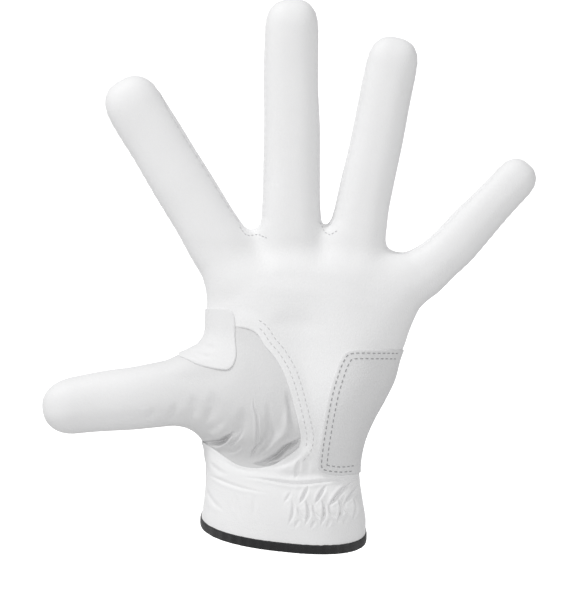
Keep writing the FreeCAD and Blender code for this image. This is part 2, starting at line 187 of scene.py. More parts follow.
class Digit:
    """A finger or the thumb: its centreline from the base fold to the tip, and its widths along it."""

    # Each digit's flare at its base, its sideways bow, the radius of the web that joins it to the palm, how
    # far below its base fold it starts, and the exponent of its cross-section's superellipse.
    SHAPES = {"index": (0.4, 0.0, 5.0, 7.0, 2.5), "middle": (0.4, 0.0, 5.0, 7.0, 2.5),
              "ring": (0.6, 0.0, 6.0, 7.0, 2.5), "little": (1.4, -3.4, 7.0, 7.0, 2.4),
              "thumb": (3.2, 0.0, 9.0, 3.2, 2.25)}
    FOLD_AFTER = 11.0
    BEND_REACH = 9.0
    CURL = 2.0
    # How far a digit goes on below its base fold, inside the palm, and the length of its rounded end there.
    ROOT, ROOT_DOME = 22.0, 10.0

    def __init__(self, name):
        self.name = name
        self.flare, self.bow, self.web, fold_before, self.roundness = self.SHAPES[name]
        joints = {j["name"]: j for j in frame["joints"]}
        base = np.array(joints[f"{name}_base_fold"]["pos_m"]) / MM
        bend = np.array(joints[f"{name}_middle_fold"]["pos_m"]) / MM
        along = (bend - base) * (1, 0, 1)
        self.bend = float(np.linalg.norm(along))
        self.up = along / self.bend
        self.across = np.array([self.up[2], 0.0, -self.up[0]])
        lower = [f"{name}_palm_side_lower", f"{name}_back_lower"]
        upper = [f"{name}_palm_side_upper", f"{name}_back_upper"]
        depths = node_points(*lower)[:, 1]
        self.base = np.array([base[0], (depths.min() + depths.max()) / 2, base[2]])
        self.long = float(((node_points(*upper) - self.base) @ self.up).max())
        root, middle = self.spans(lower, -1.0), self.spans(upper, self.bend - 1.0)
        self.wide = (root[0], middle[0])
        self.deep = (root[1], middle[1])
        self.dome = 1.2 * self.width(self.long)
        self.start = -fold_before
        self.half_way = (self.FOLD_AFTER + self.bend - self.BEND_REACH) / 2

    def spans(self, nodes, low):
        """Half the width and half the depth of CAD nodes just above a length along the digit."""
        points = node_points(*nodes) - self.base
        near = points[(points @ self.up) < low + 5.0]
        across = near @ self.across
        return (across.max() - across.min()) / 2, (near[:, 1].max() - near[:, 1].min()) / 2

    def taper(self, ends, along):
        return ends[0] + (ends[1] - ends[0]) * np.clip(along, 0.0, None) / self.bend

    def width(self, along):
        return self.taper(self.wide, along) + self.flare * smooth_step(-(along - 4.0) / 14.0)

    def depth(self, along):
        return self.taper(self.deep, along) + 0.3 * self.flare * smooth_step(-along / 10.0)

    def local(self, x, y, z):
        """Length along the digit, distance across it and depth, counted from its centreline."""
        x, y, z = x - self.base[0], y - self.base[1], z - self.base[2]
        along = x * self.up[0] + z * self.up[2]
        bow = self.bow * np.clip((14.0 - along) / 24.0, 0.0, 1.3) ** 2
        across = x * self.across[0] + z * self.across[2] - bow
        curl = self.CURL * np.clip(along / self.long, 0.0, 1.0) ** 2
        return along, across, y + curl

    def field(self, x, y, z):
        """Roughly the distance outside the digit's skin, and less than 0 inside it."""
        along, across, depth = self.local(x, y, z)
        wide, deep = self.width(along), self.depth(along)
        u, v = np.abs(across / wide), np.abs(depth / deep)
        dome = self.dome
        tip = np.clip((along - self.long + dome) / dome, 0.0, None)
        t = tip + np.clip((-self.ROOT - along) / self.ROOT_DOME, 0.0, None)
        return rounded_distance((u, t, v), (wide, dome, deep), self.roundness)

    def point(self, along, across, depth=0.0):
        """The place of a point of the digit's own frame."""
        return self.base + self.up * along + self.across * across + np.array([0.0, depth, 0.0])


class Palm:
    """The hand from the cuff to the crotches, with sides and depths measured on the CAD panels."""

    NODES = ("palm_panel", "back_panel")
    LEFT_LEVELS = (12.0, 22.0, 34.0, 41.0, 90.0, 98.0)
    RIGHT_LEVELS = (12.0, 20.0, 28.0, 36.0, 45.0, 53.0, 61.0, 69.0, 77.0, 84.0)
    FRONT_LEVELS = (12.0, 24.0, 36.0, 50.0, 62.0, 75.0, 88.0, 100.0, 112.0)
    BACK_LEVELS = (22.0, 30.0, 38.0, 50.0, 64.0, 76.0, 88.0, 100.0, 112.0)
    ROUNDNESS = 2.35
    # Sides and depth of the web of leather across the crotches, which fingers cover in the CAD model.
    KNUCKLE_RIGHT = ((95.0, 50.5), (103.0, 52.0), (112.0, 50.0), (126.0, 46.0))
    KNUCKLE_LEFT = ((112.0, -30.0), (126.0, -25.0))
    CROTCH_DEEP = ((120.0, 9.0), (130.0, 6.5))
    # Height of the web's edge at each side, at the three crotches and between them.
    WEB_EDGE = ((-34.0, 110.0), (-24.0, 121.5), (-16.0, 127.2), (1.0, 129.5), (16.8, 128.0), (31.0, 124.5),
                (45.2, 117.4), (60.0, 103.0))

    def __init__(self):
        left = [(z, section(self.NODES, z)[:, 0].min()) for z in self.LEFT_LEVELS]
        right = [(z, section(self.NODES, z)[:, 0].max()) for z in self.RIGHT_LEVELS]
        front = [(z, self.depths(z).min()) for z in self.FRONT_LEVELS]
        back = [(z, self.depths(z).max()) for z in self.BACK_LEVELS]
        self.left = smooth_curve(*zip(*left, *self.KNUCKLE_LEFT))
        self.right = smooth_curve(*zip(*right, *self.KNUCKLE_RIGHT))
        self.front = smooth_curve(*zip(*front, *((z, -d) for z, d in self.CROTCH_DEEP)))
        self.back = smooth_curve(*zip(*back, *self.CROTCH_DEEP))
        self.web_edge = smooth_curve(*zip(*self.WEB_EDGE))

    def depths(self, z):
        """Depths of the panels' edges near the middle of the hand at a height."""
        points = section(self.NODES, z)
        return points[(points[:, 0] > -14) & (points[:, 0] < 18), 1]

    def field(self, x, y, z):
        left, right = self.left(z), self.right(z)
        front, back = self.front(z), self.back(z)
        wide, deep = (right - left) / 2, (back - front) / 2
        u, v = np.abs((x - (left + right) / 2) / wide), np.abs((y - (front + back) / 2) / deep)
        sides = rounded_distance((u, v), (wide, deep), self.ROUNDNESS)
        return soft_max(sides, (z - self.web_edge(x)) * 0.97, 5.0)


digits = {name: Digit(name) for name in DIGITS}
palm = Palm()

# Soft mounds and hollows of the palm: middle (x, y, z), radii, and how far they stand out.
MOUNDS = (
    ((-14, -16, 62), (17, 14, 16), 4.4),
    ((24, -15, 62), (12, 14, 20), 3.6),
    ((6, -16, 82), (12, 12, 20), -1.8),
    ((-11, -19, 38), (16, 14, 9.5), -3),
    ((20, -18, 33), (16, 12, 6), -1.8),
    ((0, -19, 29.5), (28, 12, 5), -0.8),
    ((2, -14, 108), (34, 10, 9), 1),
    ((3, -14, 121), (40, 10, 4), -0.5),
)


def mound(x, y, z, middle, radii, high):
    square = sum(((v - m) / r) ** 2 for v, m, r in zip((x, y, z), middle, radii))
    return high * np.exp(-square)


def skin(x, y, z):
    """Roughly the distance outside the hand's skin."""
    distance = palm.field(x, y, z)
    for digit in digits.values():
        distance = soft_min(distance, digit.field(x, y, z), digit.web)
    for values in MOUNDS:
        distance = distance - mound(x, y, z, *values)
    return distance


def skin_at(points):
    return skin(points[:, 0], points[:, 1], points[:, 2])


def slope_at(points, step=0.15):
    """The skin's outward direction at points, not scaled to 1."""
    slope = np.empty_like(points)
    for axis in range(3):
        shift = np.zeros(3)
        shift[axis] = step
        slope[:, axis] = (skin_at(points + shift) - skin_at(points - shift)) / (2 * step)
    return slope


def onto_skin(points, rounds=3):
    """Points moved onto the skin, and the outward normals there."""
    for _ in range(rounds):
        slope = slope_at(points)
        points = points - slope * (skin_at(points) / (slope ** 2).sum(1))[:, None]
    slope = slope_at(points)
    return points, slope / np.linalg.norm(slope, axis=1)[:, None]


def mesh_skin():
    """The skin as an even mesh of triangles from a grid of distances."""
    low = np.array(CAD_BOX[0]) / MM - 6.0
    high = np.array(CAD_BOX[1]) / MM + 6.0
    low[2] = -6.0
    counts = np.ceil((high - low) / VOXEL).astype(int)
    x, y, z = (low[i] + VOXEL * np.arange(counts[i]) for i in range(3))
    values = skin(x[:, None, None], y[None, :, None], z[None, None, :]).astype(np.float32)
    grid = openvdb.FloatGrid(background=4.0)
    grid.copyFromArray(np.clip(values, -4.0, 4.0))
    points, quads = grid.convertToQuads(isovalue=0.0)
    points = points.astype(float) * VOXEL + low
    triangles = np.concatenate([quads[:, [0, 1, 2]], quads[:, [0, 2, 3]]]).astype(np.int64)
    edges = np.concatenate([quads[:, [0, 1]], quads[:, [1, 2]], quads[:, [2, 3]], quads[:, [3, 0]]])
    count = len(points)
    valence = np.bincount(edges.ravel(), minlength=count)
    for _ in range(4):
        mean = np.empty_like(points)
        for axis in range(3):
            mean[:, axis] = (np.bincount(edges[:, 0], points[edges[:, 1], axis], count)
                             + np.bincount(edges[:, 1], points[edges[:, 0], axis], count)) / valence
        points, normals = onto_skin(points + 0.5 * (mean - points), rounds=1)
    points, normals = onto_skin(points, rounds=2)
    a, b, c = (points[triangles[:, i]] for i in range(3))
    facing = (np.cross(b - a, c - a) * normals[triangles[:, 0]]).sum()
    if facing < 0:
        triangles = triangles[:, ::-1]
    return points, normals, triangles


bare_sheet = mesh_skin()


# Seam lines

# How far off a digit's own skin a point still belongs to the digit.
DIGIT_REACH = 3.9
FOURCHETTE_HALF = 4.0
# How much wider the index fourchette grows towards the palm side, so that its seam shows from there.
INDEX_WIDER = 0.6
SIDE_SEAM = 2.0


class Outline:
    """A closed smooth curve over x and z, with a signed distance that is above 0 inside."""

    def __init__(self, corners):
        corners = np.array(corners, float)
        self.path = curve_points(np.concatenate([corners[-1:], corners, corners[:2]]), 7)

    def distance(self, x, z):
        place = np.stack([x, z], axis=1)
        low, high = self.path.min(0) - FAR, self.path.max(0) + FAR
        near = ((place > low) & (place < high)).all(1)
        result = np.full(len(place), -FAR)
        start, step = self.path, np.roll(self.path, -1, axis=0) - self.path
        length = (step ** 2).sum(1)
        for group in np.array_split(np.flatnonzero(near), max(1, near.sum() // 20000)):
            offset = place[group, None] - start
            share = np.clip((offset * step).sum(2) / length, 0, 1)
            gap = np.sqrt(((offset - share[..., None] * step) ** 2).sum(2)).min(1)
            above = start[:, 1] > place[group, 1, None]
            level = above != np.roll(above, -1, axis=1)
            cross = start[:, 0] + (place[group, 1, None] - start[:, 1]) * step[:, 0] / np.where(
                step[:, 1] == 0, 1e-9, step[:, 1])
            inside = (level & (place[group, 0, None] < cross)).sum(1) % 2 == 1
            result[group] = np.where(inside, gap, -gap)
        return np.clip(result, -FAR, None)


THUMB_HOLE = Outline((
    (-11.6, 87.4), (-8.4, 82.6), (-4.7, 78.2), (-1.1, 72.1), (1.4, 65.4), (3.5, 57.8), (5, 51.6),
    (5.9, 46.4), (5.2, 42.6), (2.4, 40), (-1.6, 37.4), (-5.7, 35.2), (-11.8, 34.1), (-18.5, 35),
    (-23.6, 37.4), (-28.2, 40.4), (-34, 44.6), (-44, 51), (-60, 58), (-60, 72),
    (-60, 89.6), (-44, 90), (-28, 90), (-17, 89.8)))
HEEL_PATCH = Outline((
    (25, 80.6), (36, 81), (47, 81), (64, 81), (64, 56), (64, 32.5), (36, 32.2),
    (26, 31.4), (20.8, 31.2), (14.8, 32.2), (12.9, 34), (12.7, 36.6), (13.4, 42.9), (14.6, 50.5),
    (16.1, 58.2), (17.6, 65.1), (19.5, 71.4), (21.6, 76.8)))
WEB_PATCH = Outline((
    (-20.3, 93.5), (-20.2, 86.4), (-19.7, 80.2), (-20.1, 77), (-21.6, 74.1), (-24.4, 73.1), (-31.2, 74.1),
    (-36, 75.4), (-42, 77.8), (-60, 82), (-60, 92), (-60, 97), (-44, 97.2), (-30, 97.4),
    (-22.6, 97)))
SLIT_X, SLIT_TOP, SLIT_END = -4.0, 60.0, 1.5
# Widths of the tapes of the hem and the slit, and where the leather ends under each of them.
HEM_TAPE, HEM_LEATHER = 3.5, 1.2
SLIT_TAPE, SLIT_LEATHER = 2.4, 0.6
# Where the slit's tape ends, under the hem's.
SLIT_TAPE_FOOT = 3.2


def slit_distance(x, z):
    """Above 0 inside the slit, which narrows upwards to a round end."""
    half = 4.6 - 3.2 * np.clip((z + 10.0) / 66.0, 0.0, 1.0)
    side = half - np.abs(x - SLIT_X)
    end = SLIT_END - np.hypot(x - SLIT_X, z - SLIT_TOP + SLIT_END)
    return np.where(z < SLIT_TOP - SLIT_END, side, end)


def hem_height(x, y, z):
    """Height above the lower edge of the hem, which sits lower on the palm side."""
    return (z - 7.9 + 0.104 * x - 0.34 * y) * 0.94


def in_digit(digit, x, y, z, from_along):
    """Above 0 on the skin of a digit past a length along it."""
    along = digit.local(x, y, z)[0]
    return np.minimum(along - from_along, DIGIT_REACH - digit.field(x, y, z))


def fourchette_half(digit, along):
    """Half the width of a digit's fourchette, which narrows to a point before the tip."""
    return FOURCHETTE_HALF * np.sqrt(smooth_step((digit.long - 0.62 * digit.dome - along) / 16.0))


def index_growth(along):
    return smooth_step((along - digits["index"].start) / 14.0)


def seam_edges(x, y, z):
    """Depths past the palm-side seam and past the back seam, each 0 on its seam."""
    between = (digits["index"].local(x, y, z)[1] > 0) & (digits["little"].local(x, y, z)[1] < 0) & (z > 98)
    half = np.where(between, FOURCHETTE_HALF, 0.0)
    side = SIDE_SEAM * smooth_step((104.0 - z) / 20.0)
    front, back = y - side * (half == 0) + half, y - side * (half == 0) - half
    for digit in digits.values():
        along, across, depth = digit.local(x, y, z)
        here = in_digit(digit, x, y, z, digit.start) > 0
        if digit.name == "thumb":
            edge = 4.0 * (1 - smooth_step((along - digit.start) / 22.0))
            half = 0.0
        else:
            edge = 0.0
            sewn = np.isin(np.sign(across), FOURCHETTES[digit.name])
            half = np.where(sewn, fourchette_half(digit, along), 0.0)
        wider = 0.0
        if digit.name == "index":
            wider = INDEX_WIDER / FOURCHETTE_HALF * half * index_growth(along)
        front = np.where(here, depth - edge + half + wider, front)
        back = np.where(here, depth - edge - half, back)
    return front, back


# Folds and gathers of the leather

class Crease:
    """A fold along a curve over x and z, with a ridge beside it."""

    def __init__(self, corners, wide, deep, ridge=0.0):
        corners = np.array(corners, float)
        ends = np.concatenate([2 * corners[:1] - corners[1:2], corners, 2 * corners[-1:] - corners[-2:-1]])
        self.path = np.concatenate([curve_points(ends, 6), corners[-1:]])
        self.wide, self.deep, self.ridge = wide, deep, ridge

    def height(self, x, z):
        place = np.stack([x, z], axis=1)
        reach = 4.0 * self.wide
        low, high = self.path.min(0) - reach, self.path.max(0) + reach
        near = np.flatnonzero(((place > low) & (place < high)).all(1))
        start, step = self.path[:-1], np.diff(self.path, axis=0)
        offset = place[near, None] - start
        share = np.clip((offset * step).sum(2) / (step ** 2).sum(1), 0, 1)
        away = offset - share[..., None] * step
        gap = (away ** 2).sum(2)
        nearest = gap.argmin(1)
        rows = np.arange(len(near))
        gap = np.sqrt(gap[rows, nearest])
        out, ahead = away[rows, nearest], step[nearest]
        side = np.sign(out[:, 0] * ahead[:, 1] - out[:, 1] * ahead[:, 0])
        run = (nearest + share[rows, nearest]) / len(start)
        fade = smooth_step(np.minimum(run, 1 - run) / 0.4)
        wide = self.wide * (0.45 + 0.55 * fade)
        signed = gap * side
        shape = -np.exp(-(signed / wide) ** 2)
        shape = shape + self.ridge * np.exp(-((signed - 2.0 * wide) / (1.4 * wide)) ** 2)
        shape = shape + 0.5 * self.ridge * np.exp(-((signed + 2.0 * wide) / (1.4 * wide)) ** 2)
        result = np.zeros(len(place))
        result[near] = self.deep * fade * shape
        return result


def creases(*values):
    return [Crease(*value) for value in values]


def heights(folds, x, z):
    return sum(fold.height(x, z) for fold in folds)


# Each crease: its corners (x, z), its width, its depth and the height of its ridge. A depth below 0 is a ridge.
GUSSET_CREASES = creases(
    (((-34.6, 44), (-30.4, 43.6), (-26.4, 44.2), (-23.4, 46.2), (-19.4, 49.4)), 0.85, 2.6, 0.35),
    (((-33, 48.6), (-28.4, 47.4), (-25, 49.6), (-23, 54)), 1.9, -0.8, 0.1),
    (((-26.6, 42), (-22, 43.6), (-18.4, 46.6), (-16.6, 50.4)), 0.55, 0.45, 0.5),
    (((-24.4, 39.4), (-20, 41), (-16.6, 44)), 0.6, 0.35, 0.5),
    (((-21.4, 46), (-17.6, 51), (-16.8, 60)), 2.4, 0.9, 0.1),
    (((-12.6, 64), (-12.6, 59), (-11.3, 54.6), (-11.2, 48), (-11.8, 43), (-13.4, 39)),
     0.45, 0.42, 0.9),
    (((-7.4, 62), (-6.6, 54), (-6.4, 48), (-9, 43.6), (-12.6, 40), (-14.8, 36.4)), 1.9, 1.5, 0.1),
    (((0.4, 62), (0.2, 54), (-0.6, 48.4), (-5.2, 43.2), (-9.2, 39.8), (-12.6, 36.6)), 1.8, -1.3, 0),
    (((-9, 44.4), (-12.6, 41.2), (-13.8, 38)), 0.5, 0.6, 0.5),
    (((6.6, 46.4), (3.9, 44.3), (-0.4, 41.8), (-3.7, 38.9), (-9, 36.4), (-14, 35.6)), 0.85, 2.8, 0.3),
    (((-1, 36.8), (-5, 35.9), (-9, 35.4), (-14, 35.8)), 0.7, 1, 0.3),
    (((-0.4, 66), (1.4, 60.8), (2.6, 53.2), (4.6, 47)), 1.3, 0.9, 0.1),
    (((-30, 66), (-29, 58), (-33, 51)), 2.2, 0.7, 0.2),
    (((-38, 64), (-36.4, 58), (-38.4, 52)), 1.9, 0.6, 0.2),
    (((-57, 50.6), (-54, 54.6), (-52.6, 58.6)), 1.4, 0.7, 0.4),
    (((-47.4, 51), (-44.8, 55.6), (-43.8, 60.6)), 1.4, 0.7, 0.4),
    (((-50, 70), (-38, 69.5), (-26, 71), (-18, 76)), 3.2, 0.35, 0.3),
)
CUFF_CREASES = creases(
    (((-20, 30.6), (-11.7, 30), (-1.8, 28.7), (4.4, 28.1), (12.9, 28.7), (22, 29.6), (34, 30.4)),
     0.66, 1.1, 0.35),
    (((-14, 32.2), (-2, 31.4), (10, 31.6), (24, 32)), 2, 0.7, 0.1),
    (((-32, 31.4), (-28, 29.9), (-22, 27.6), (-14.4, 25.6), (-3, 23.6)), 0.6, 0.42, 0.5),
    (((-31, 37), (-27.6, 33.4), (-22, 31)), 0.9, 0.4, 0.4),
    (((-33, 27), (-29, 20.6), (-24, 16.4)), 0.8, 0.35, 0.5),
    (((-21, 26), (-19.6, 20), (-17, 12)), 0.9, 0.22, 0.5),
    (((-13.4, 25), (-12.4, 20.5), (-13, 15)), 0.8, 0.22, 0.5),
    (((5.6, 38), (4.7, 34), (3.6, 29.4)), 0.8, 0.9, 0.3),
    (((9.4, 41), (8.4, 36), (9.4, 31.6)), 1.8, 0.7, 0.1),
    (((-26, 37), (-18, 33.6), (-8, 32.8)), 0.8, 0.3, 0.4),
    (((-10, 34.2), (-2, 35.2), (4, 38.2), (7.4, 42)), 0.6, 0.3, 0.5),
    (((16, 88), (4, 92), (-10, 90)), 3.4, 0.35, 0.3),
    (((38, 100), (20, 107), (0, 109), (-18, 108)), 3.2, 0.35, 0.3),
)
# Where the elastic pulls the cuff in: leaning strokes, the two sides of each pucker, and short ends below.
GATHERS = creases(
    (((2.4, 25.4), (0.8, 22.6), (-1.2, 20)), 0.6, 0.3, 0.4),
    (((9.2, 27.6), (7.4, 23.6), (5.2, 19.6)), 0.62, 0.9, 0.4),
    (((16.2, 27.6), (13.9, 23.9), (11.2, 19.6)), 0.62, 0.95, 0.4),
    (((28.4, 29.6), (22.4, 25.2), (19.2, 21.6), (16.2, 18.2)), 0.68, 1.3, 0.45),
    (((29.4, 27.4), (25.8, 23.2), (23, 19.6)), 0.62, 1.1, 0.4),
    (((2.4, 22.4), (2.9, 16.8), (0.6, 11)), 0.6, 0.5, 0.4),
    (((7.6, 22.6), (9.1, 17), (7.6, 11.4)), 0.6, 0.95, 0.4),
    (((14.2, 22.4), (15.4, 17), (13.6, 10.8)), 0.6, 1, 0.4),
    (((20.4, 22.6), (22.1, 17.6), (20.2, 11.8)), 0.6, 1.1, 0.4),
    (((26.4, 22.6), (27.8, 17.8), (26.4, 12.6)), 0.6, 1, 0.4),
    (((4.6, 19.6), (5.4, 16.4), (8.4, 12.4)), 0.55, 0.5, 0.3),
    (((10.8, 20.4), (11.3, 16.8), (14.9, 12.9)), 0.55, 0.6, 0.3),
    (((17.2, 20), (17.6, 16.8), (21.2, 13.4)), 0.55, 0.65, 0.3),
    (((23.5, 21), (23.2, 17.8), (27, 14)), 0.55, 0.6, 0.3),
    (((5.4, 14.4), (3.4, 10.4)), 0.6, 0.3, 0.3),
    (((11.8, 14), (9.8, 10)), 0.6, 0.35, 0.3),
    (((18, 14.4), (16, 10.4)), 0.6, 0.35, 0.3),
    (((24.4, 14.8), (22.6, 11.2)), 0.6, 0.3, 0.3),
)
# Middles (x, z) of the puckers that bulge between the gathers, and how far they stand out.
PUCKERS = ((0.6, 18, 0.25), (6.9, 18.2, 0.5), (13.2, 18.2, 0.55), (19.6, 18.6, 0.6), (25.8, 19, 0.55),
           (11, 24.6, 0.35), (18, 24.8, 0.35), (4.4, 24.8, 0.2), (10.2, 13.2, 0.2), (17, 13.2, 0.2),
           (23.6, 13.6, 0.2))
WEB_CREASES = creases(
    (((-40, 79.6), (-34, 78.6), (-28, 77.6)), 0.9, 0.3, 0.5),
    (((-38, 83.2), (-32, 82), (-26, 81.2)), 1, 0.3, 0.5),
)
BACK_CREASES = creases(
    (((-32, 66), (-20, 68), (-6, 65.5), (8, 66.5)), 2, 0.8, 0.5),
    (((-2, 72), (14, 71), (30, 75)), 2.4, 0.6, 0.5),
    (((-29, 52), (-20, 55), (-10, 53)), 1.6, 0.8, 0.5),
    (((2, 54.5), (12, 51), (26, 53)), 1.8, 0.8, 0.5),
    (((-28, 45.5), (-18, 47), (-11, 46)), 1.4, 0.6, 0.5),
    (((-26, 114), (-14, 118), (0, 120)), 2.8, 0.7, 0.4),
    (((4, 120), (18, 118), (34, 112)), 2.8, 0.7, 0.4),
    (((-24, 103), (-2, 108), (22, 105), (42, 98)), 3.4, 0.6, 0.4),
    (((-30, 84), (-24, 90), (-12, 94)), 2.4, 0.6, 0.5),
    (((34, 84), (42, 92), (48, 100)), 2.4, 0.5, 0.5),
)
# How far the leather sinks along the lower edge of the hole for the thumb, and how wide on each side.
TUCK, TUCK_ABOVE, TUCK_BELOW = 1.7, 7.0, 4.0
WAVES = ((0.17, 0.05, 0.11, 0.4), (-0.09, 0.12, 0.19, 1.9), (0.23, -0.08, -0.14, 3.1), (0.06, 0.21, 0.27, 4.4),
         (-0.31, 0.1, 0.22, 0.9), (0.4, 0.2, 0.12, 2.6))


# Widths of a seam's groove and of the puckered leather beside it, and the pitch of those puckers.
GROOVE, PUCKERED, PUCKER_PITCH = 0.75, 2.6, 3.4


def undulation(x, y, z):
    """Gentle unevenness of stuffed soft leather."""
    return sum(0.16 * np.sin(a * x + b * y + c * z + d) / (1 + 1.6 * i)
               for i, (a, b, c, d) in enumerate(WAVES))


def rise(x, y, z):
    """How far the palm panel rises over the thumb base near the hole for the thumb."""
    away = -THUMB_HOLE.distance(x, z)
    under_web = smooth_step((-17.0 - x) / 4.0) * (z > 70)
    return RISE * smooth_step((7.9 - away) / 5.0) * (1 - under_web) * smooth_step((1.5 - y) / 4.0)


def tuck(x, y, z):
    """The valley along the lower edge of the hole for the thumb."""
    inset = THUMB_HOLE.distance(x, z)
    reach = np.where(inset > 0, TUCK_ABOVE, TUCK_BELOW)
    fade = smooth_step((54.0 - z) / 12.0) * smooth_step((x + 36.0) / 12.0) * smooth_step((0.5 - y) / 6.0)
    return -TUCK * np.exp(-(inset / reach) ** 2) * fade


def relief(points, kind):
    """Height of the leather's folds over the skin: seams, creases, gathers and unevenness."""
    x, y, z = points.T
    high = undulation(x, y, z)
    front_edge, back_edge = seam_edges(x, y, z)
    seam, near = (np.maximum(np.exp(-(front_edge / wide) ** 2), np.exp(-(back_edge / wide) ** 2))
                  for wide in (GROOVE, PUCKERED))
    pitch = 2 * np.pi / PUCKER_PITCH
    high = high - 0.5 * seam + 0.09 * near * np.sin(pitch * (x * 0.25 + z)) * (z > 105)
    if kind == "gusset":
        folds = heights(GUSSET_CREASES, x, z) * smooth_step((1.0 - y) / 5.0)
        inset = np.clip(THUMB_HOLE.distance(x, z), -8.0, 8.0)
        folds = np.minimum(folds * smooth_step((inset + 2.0) / 3.0), 0.25 + 0.5 * np.clip(inset, 0, None))
        high = high + folds + tuck(x, y, z)
    if kind in ("front", "heel"):
        folds = heights(CUFF_CREASES + GATHERS, x, z)
        for px, pz, out in PUCKERS:
            folds = folds + out * np.exp(-((x - px) / 2.0) ** 2 - ((z - pz) / 3.2) ** 2)
        high = high + rise(x, y, z) + tuck(x, y, z) + folds * smooth_step((1.0 - y) / 4.0)
    if kind == "web":
        high = high + heights(WEB_CREASES, x, z) * (y < 4)
    if kind == "back":
        high = high + heights(BACK_CREASES, x, z) * smooth_step((y - 2.0) / 4.0)
    return high


# Sheets of triangles: points, normals and triangles

def centres(sheet):
    return sheet[0][sheet[2]].mean(1)


def split(sheet, value, snap=0.07):
    """Adds edges to a sheet along the line where a value of x, y and z is 0."""
    points, normals, triangles = sheet
    at = value(*points.T)
    at = np.where(np.abs(at) < snap, 0.0, at)
    signs = np.sign(at).astype(int)[triangles]
    crossed = signs.min(1) * signs.max(1) < 0
    mixed, marks = triangles[crossed], signs[crossed]
    zero = (marks == 0).any(1)
    lone = (marks * marks.sum(1)[:, None] < 0).argmax(1)
    odd = np.where(zero, (marks == 0).argmax(1), lone)
    a, b, c = mixed[np.arange(len(mixed))[:, None], (odd[:, None] + np.arange(3)) % 3].T
    pairs = np.concatenate([np.stack(ends, 1) for ends in (
        (b[zero], c[zero]), (a[~zero], b[~zero]), (a[~zero], c[~zero]))])
    pairs.sort(axis=1)
    keys, which = np.unique(pairs[:, 0] * len(points) + pairs[:, 1], return_inverse=True)
    first, second = keys // len(points), keys % len(points)
    share = (at[first] / (at[first] - at[second]))[:, None]
    added = points[first] + (points[second] - points[first]) * share
    added_normals = normals[first] + (normals[second] - normals[first]) * share
    added_normals /= np.linalg.norm(added_normals, axis=1)[:, None]
    which = which.ravel() + len(points)
    ones, twos = zero.sum(), (~zero).sum()
    r, p, q = which[:ones], which[ones:ones + twos], which[ones + twos:]
    made = [triangles[~crossed]]
    for corners in ((a[zero], b[zero], r), (a[zero], r, c[zero]), (a[~zero], p, q),
                    (p, b[~zero], c[~zero]), (p, c[~zero], q)):
        made.append(np.stack(corners, 1))
    return np.concatenate([points, added]), np.concatenate([normals, added_normals]), np.concatenate(made)


def refine(sheet, chosen):
    """Cuts the chosen triangles in four, and their neighbours so that no edge is left with a loose point."""
    points, normals, triangles = sheet
    ahead = np.roll(triangles, -1, axis=1)
    keys = np.minimum(triangles, ahead) * len(points) + np.maximum(triangles, ahead)
    cut = np.unique(keys[chosen])
    marked = np.isin(keys, cut)
    middles = np.searchsorted(cut, np.where(marked, keys, cut[0])) + len(points)
    first, second = cut // len(points), cut % len(points)
    added_normals = normals[first] + normals[second]
    added_normals /= np.linalg.norm(added_normals, axis=1)[:, None]
    count = marked.sum(1)
    made = [triangles[count == 0]]

    def turned(picked, start):
        order = (start[:, None] + np.arange(3)) % 3
        rows = np.arange(picked.sum())[:, None]
        return (*triangles[picked][rows, order].T, *middles[picked][rows, order].T)

    picked = count == 1
    a, b, c, ab, _, _ = turned(picked, marked[picked].argmax(1))
    made += [np.stack(t, 1) for t in ((a, ab, c), (ab, b, c))]
    picked = count == 2
    a, b, c, ab, bc, _ = turned(picked, ((~marked[picked]).argmax(1) + 1) % 3)
    made += [np.stack(t, 1) for t in ((ab, b, bc), (a, ab, bc), (a, bc, c))]
    picked = count == 3
    a, b, c, ab, bc, ca = turned(picked, np.zeros(picked.sum(), int))
    made += [np.stack(t, 1) for t in ((a, ab, ca), (ab, b, bc), (ca, bc, c), (ab, bc, ca))]
    return (np.concatenate([points, (points[first] + points[second]) / 2]),
            np.concatenate([normals, added_normals]), np.concatenate(made))


def part_of(sheet, keep):
    """The triangles of a sheet that a mask keeps, without loose points."""
    points, normals, triangles = sheet
    used, renumbered = np.unique(triangles[keep], return_inverse=True)
    return points[used], normals[used], renumbered.reshape(-1, 3)


def border(triangles):
    """The edges at the rim of a sheet, in the direction of its triangles."""
    edges = np.concatenate([triangles[:, [0, 1]], triangles[:, [1, 2]], triangles[:, [2, 0]]])
    count = triangles.max() + 1
    forward, backward = edges[:, 0] * count + edges[:, 1], edges[:, 1] * count + edges[:, 0]
    return edges[~np.isin(forward, backward)]


def make_object(name, vertices, faces, material, sharp=None):
    mesh = bpy.data.meshes.new(name)
    mesh.from_pydata((vertices * MM).tolist(), [], faces)
    mesh.update()
    mesh.shade_smooth()
    if sharp is not None:
        count = len(vertices)
        keys = np.array([e.vertices[:] for e in mesh.edges])
        keys.sort(axis=1)
        marked = np.sort(sharp, axis=1)
        is_sharp = np.isin(keys[:, 0] * count + keys[:, 1], marked[:, 0] * count + marked[:, 1])
        attribute = mesh.attributes.get("sharp_edge") or mesh.attributes.new("sharp_edge", "BOOLEAN", "EDGE")
        attribute.data.foreach_set("value", is_sharp)
    mesh.materials.append(material)
    made = bpy.data.objects.new(name, mesh)
    bpy.context.scene.collection.objects.link(made)
    return made


